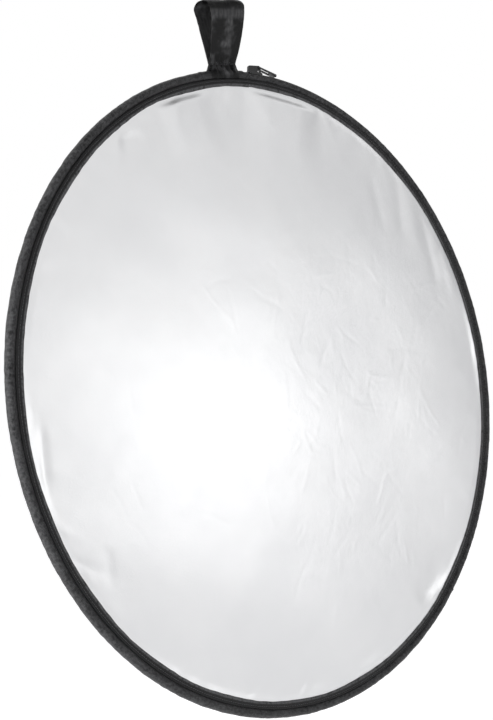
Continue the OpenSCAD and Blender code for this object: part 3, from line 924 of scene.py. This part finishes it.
def carry_ribbon(look):
    """Satin ribbon, flat at the top of the loop and gathered where it is sewn down over the rim."""
    path, along = ribbon_path()
    tangents = np.gradient(path, axis=0)
    tangents /= np.linalg.norm(tangents, axis=1, keepdims=True)
    normals = np.stack([tangents[:, 1], -tangents[:, 0]], -1)
    across = np.linspace(-1, 1, RIBBON_COLUMNS)
    rise = np.clip((path[:, 1] - LOOP_SEAM_Z) / (LOOP_TOP - LOOP_SEAM_Z), -1, 1)
    foot = smooth((LOOP_SEAM_Z - path[:, 1]) / (12 * MM))
    half_w = (GATHER_W + (RIBBON_W - GATHER_W) * np.clip(rise / 0.88, 0, 1) + 1 * MM * foot) / 2
    x = half_w[:, None] * across - 2 * MM * foot[:, None]
    lift = ribbon_relief(path, along, x, across, rise)
    corner = smooth((np.abs(across) - 0.7) / 0.3) ** 1.5
    drop = 1.5 * MM * corner * smooth((rise[:, None] - 0.8) / 0.2)
    half_t = RIBBON_T / 2 * np.sqrt(np.maximum(0.12, 1 - np.abs(across) ** 18))

    def layer(sign):
        off = lift + sign * half_t
        y = path[:, :1] + normals[:, :1] * off
        z = path[:, 1:] + normals[:, 1:] * off - drop
        return np.stack([np.broadcast_to(x, y.shape), y, z], -1)

    rings = np.concatenate([layer(1), layer(-1)[:, ::-1]], 1)
    piece = sweep("carry_ribbon", rings, look, along=along)
    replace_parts(piece, "loop_strap")
    return bend_foot(piece)


def bend_foot(piece):
    """The loop's foot is sewn to the rim; this bakes a piece of the loop into place."""
    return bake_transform(piece)


def ribbon_stitches(look):
    """Two rows of stitches through the gathered ribbon, in front and behind."""
    count, pitch = 13, 3.0 * MM
    t = np.linspace(0, 1, 6)
    rise = np.sin(math.pi * t) ** 0.5
    paths = []
    for sign in (1, -1):
        for row in (0, 2.2 * MM):
            for k in range(count):
                x = (k - count / 2 + 0.08 + 0.84 * t) * pitch
                y = sign * (1.5 * MM + 0.25 * MM * rise)
                z = np.full(6, LOOP_SEAM_Z + row)
                paths.append(np.stack([x, y, z], -1))
    paths = np.array(paths)
    sides = np.broadcast_to([0.0, 0.0, 1.0], paths.shape)
    piece = tubes("ribbon_stitches", paths, sides, 0.22 * MM * (0.5 + 0.5 * rise), look)
    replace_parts(piece, "loop_stitching")
    return bend_foot(piece)


def ribbon_patch(look):
    """Short band of ribbon that wraps the rim under the loop, with a turned hem at each end."""
    angles = np.linspace(PATCH_FROM, PATCH_TO, 72)
    outline = np.concatenate([arc(TUBE_R, PATCH_R, PATCH_WRAP, -PATCH_WRAP, 48),
                              arc(TUBE_R, PATCH_R - 0.55 * MM, -PATCH_WRAP, PATCH_WRAP, 40)])
    r, h = outline.T
    share = np.abs(np.linspace(-1, 1, len(angles)))
    hem = 0.3 * MM * smooth((share - 0.86) / 0.05)
    folds = 0.3 * MM * harmonics(angles * 9, 111, 3, 14)
    away = np.stack([r - TUBE_R, h], -1)
    distance = np.linalg.norm(away, axis=1)
    outer = distance > PATCH_R - 0.3 * MM
    away = away / distance[:, None]
    push = (hem + folds - 0.1 * MM)[:, None] * outer
    rings = polar(angles[:, None], r + push * away[:, 0], h + push * away[:, 1])
    piece = sweep("ribbon_patch", rings, look)
    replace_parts(piece, "loop_base_patch")
    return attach(piece, "root")


# ---------------------------------------------------------------- CAD nodes that stay

def soften_edges(node, width):
    """Joins a CAD node's split corners and rounds its edges a little."""
    part = frame["nodes"][node]
    part.modifiers.new("weld", "WELD").merge_threshold = 0.001 * MM
    bevel = part.modifiers.new("round", "BEVEL")
    bevel.width = width
    bevel.segments = 2
    bevel.limit_method = "ANGLE"
    bevel.angle_limit = math.radians(38)
    bevel.harden_normals = True


def dress_node(node, look):
    part = frame["nodes"][node]
    if not part.material_slots:
        part.data.materials.append(look)
    for material_slot in part.material_slots:
        material_slot.material = look


def dress_hardware():
    enamel = enamel_look()
    zinc = solid_metal_look("zinc plate", (0.42, 0.43, 0.46), (0.66, 0.67, 0.69), 0.28)
    stop = solid_metal_look("blackened stop", (0.02, 0.02, 0.022), (0.075, 0.075, 0.08), 0.35)
    leaf = solid_metal_look("leaf spring", (0.40, 0.41, 0.43), (0.62, 0.63, 0.65), 0.25)
    for node in ("slider_body", "slider_crown", "pull_tab"):
        dress_node(node, enamel)
        soften_edges(node, 0.22 * MM)
    for node in ("hoop_ferrule", "ferrule_rivets"):
        dress_node(node, zinc)
    for node in ("zip_top_stops", "zip_bottom_stop"):
        dress_node(node, stop)
        soften_edges(node, 0.25 * MM)
    dress_node("slider_lock_spring", leaf)


# ---------------------------------------------------------------- stage

def camera():
    """Looks at the disc's silver side from its left, a little rolled."""
    azimuth, elevation = math.radians(CAMERA_AZIMUTH), math.radians(CAMERA_ELEVATION)
    back = Vector((math.sin(azimuth) * math.cos(elevation), -math.cos(azimuth) * math.cos(elevation),
                   math.sin(elevation)))
    right = Vector((0, 0, 1)).cross(back).normalized()
    upright = Matrix((right, back.cross(right), back))
    roll = Matrix.Rotation(-math.radians(CAMERA_ROLL), 3, "Z")
    tip, pan = (math.radians(angle) for angle in CAMERA_AIM)
    axes = Matrix.Rotation(tip, 3, "X") @ Matrix.Rotation(pan, 3, "Y") @ roll @ upright
    data = bpy.data.cameras.new("camera")
    data.lens = CAMERA_LENS
    made = bpy.data.objects.new("camera", data)
    made.matrix_world = Matrix.Translation(back * CAMERA_DISTANCE) @ axes.transposed().to_4x4()
    bpy.context.scene.collection.objects.link(made)
    bpy.context.scene.camera = made


def area_light(name, place, target, size, power):
    """A round lamp that the camera doesn't see."""
    data = bpy.data.lights.new(name, "AREA")
    data.shape = "DISK"
    data.size = size
    data.energy = power
    made = bpy.data.objects.new(name, data)
    made.location = place
    made.rotation_mode = "QUATERNION"
    made.rotation_quaternion = (Vector(target) - Vector(place)).to_track_quat("-Z", "Y")
    made.visible_camera = False
    bpy.context.scene.collection.objects.link(made)


def world():
    """A white studio. Before the disc it is grey low down on the right, and dark overhead."""
    made = bpy.data.worlds.new("studio")
    bpy.context.scene.world = made
    made.use_nodes = True
    tree = made.node_tree
    place = tree.nodes.new("ShaderNodeTexCoord")
    parts = tree.nodes.new("ShaderNodeSeparateXYZ")
    tree.links.new(place.outputs["Generated"], parts.inputs[0])

    def blend(part, low, high, low_shade, high_shade):
        share = tree.nodes.new("ShaderNodeMapRange")
        share.interpolation_type = "SMOOTHSTEP"
        share.inputs["From Min"].default_value = low
        share.inputs["From Max"].default_value = high
        tree.links.new(parts.outputs[part], share.inputs["Value"])
        mixed = tree.nodes.new("ShaderNodeMix")
        mixed.data_type = "RGBA"
        tree.links.new(share.outputs["Result"], mixed.inputs[0])
        for socket, shade in ((mixed.inputs[6], low_shade), (mixed.inputs[7], high_shade)):
            if isinstance(shade, bpy.types.NodeSocket):
                tree.links.new(shade, socket)
            else:
                socket.default_value = (*shade, 1)
        return mixed.outputs[2]

    level = blend("X", 0.56, 0.80, STUDIO_LEFT, STUDIO_RIGHT)
    raised = blend("Z", 0.03, 0.28, level, STUDIO_UPPER)
    ahead = blend("Z", 0.36, 0.58, raised, STUDIO_OVERHEAD)
    shade = blend("Y", -0.3, 0.2, ahead, STUDIO_BEHIND)
    tree.links.new(shade, tree.nodes["Background"].inputs["Color"])


def floor():
    """Wide pale floor, well below the disc, glowing a little as painted light, more towards the back."""
    mesh = bpy.data.meshes.new("floor")
    corners = [(x * FLOOR_HALF, y * FLOOR_HALF, FLOOR_Z) for x, y in ((-1, -1), (1, -1), (1, 1), (-1, 1))]
    mesh.from_pydata(corners, [], [(0, 1, 2, 3)])
    look = Look("pale floor", Roughness=0.9, Specular_IOR_Level=0.1)
    # Painted light: the floor glows white, more towards the back
    look.shader.inputs["Emission Color"].default_value = (1, 1, 1, 1)
    place = look.solid_place()
    depth = look.node("SeparateXYZ", {0: place}).outputs[1]
    look.feed(look.shader.inputs["Emission Strength"], look.remap(depth, -0.4, 0.6, 0.15, 0.4))
    look.colour(look.mix(look.noise(place, 1.5), (0.88, 0.88, 0.89), (0.91, 0.91, 0.92)))
    mesh.materials.append(look.material)
    made = bpy.data.objects.new("floor", mesh)
    bpy.context.scene.collection.objects.link(made)


def stage():
    bpy.context.scene.view_settings.view_transform = "Standard"
    camera()
    world()
    floor()
    for lamp in LAMPS:
        area_light(*lamp)


# ---------------------------------------------------------------- the object

def build():
    silver, white = silver_look(), white_cloth_look()
    tape, thread, satin = edge_tape_look(), thread_look(), satin_look()
    edge_tape(tape)
    spring_hoop(spring_steel_look())
    front = cover_cloth("silver_cover", 1, 11, SILVER_FOLDS + all_creases(FRONT_CREASES), silver)
    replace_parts(front, "front_panel_right", "front_panel_left")
    rear = cover_cloth("white_cover", -1, 21, all_creases(REAR_CREASES), white)
    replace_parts(rear, "rear_panel_right", "rear_panel_left")
    core = core_cloth(diffuser_look())
    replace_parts(core, "core_fabric_right", "core_fabric_left")
    core_tape(binding_look())
    for side, word in FACES:
        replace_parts(zip_side(f"zip_side_{word}", side, tape), f"zip_band_{word}")
        row = stitch_row(f"{word}_stitches", SEAM_R, SEAM_H, SEAM_PITCH, SEAM_THREAD_R, thread, side)
        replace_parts(row, f"{word}_seam_right", f"{word}_seam_left")
        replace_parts(zip_tape_strip(f"zip_tape_{word}_cloth", side, zip_tape_look()), f"zip_tape_{word}")
        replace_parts(zip_coil_teeth(f"zip_coil_{word}_teeth", side, nylon_look()), f"zip_coil_{word}")
    inner_rows = [stitch_row(f"core_stitches_{word}", CORE_SEAM_R, CORE_SEAM_H, CORE_SEAM_PITCH,
                             CORE_THREAD_R, thread, side) for side, word in FACES]
    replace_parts(inner_rows[0], "core_stitching_right", "core_stitching_left")
    ribbon_patch(satin)
    ribbon_stitches(thread)
    carry_ribbon(satin)
    dress_hardware()


build()
stage()
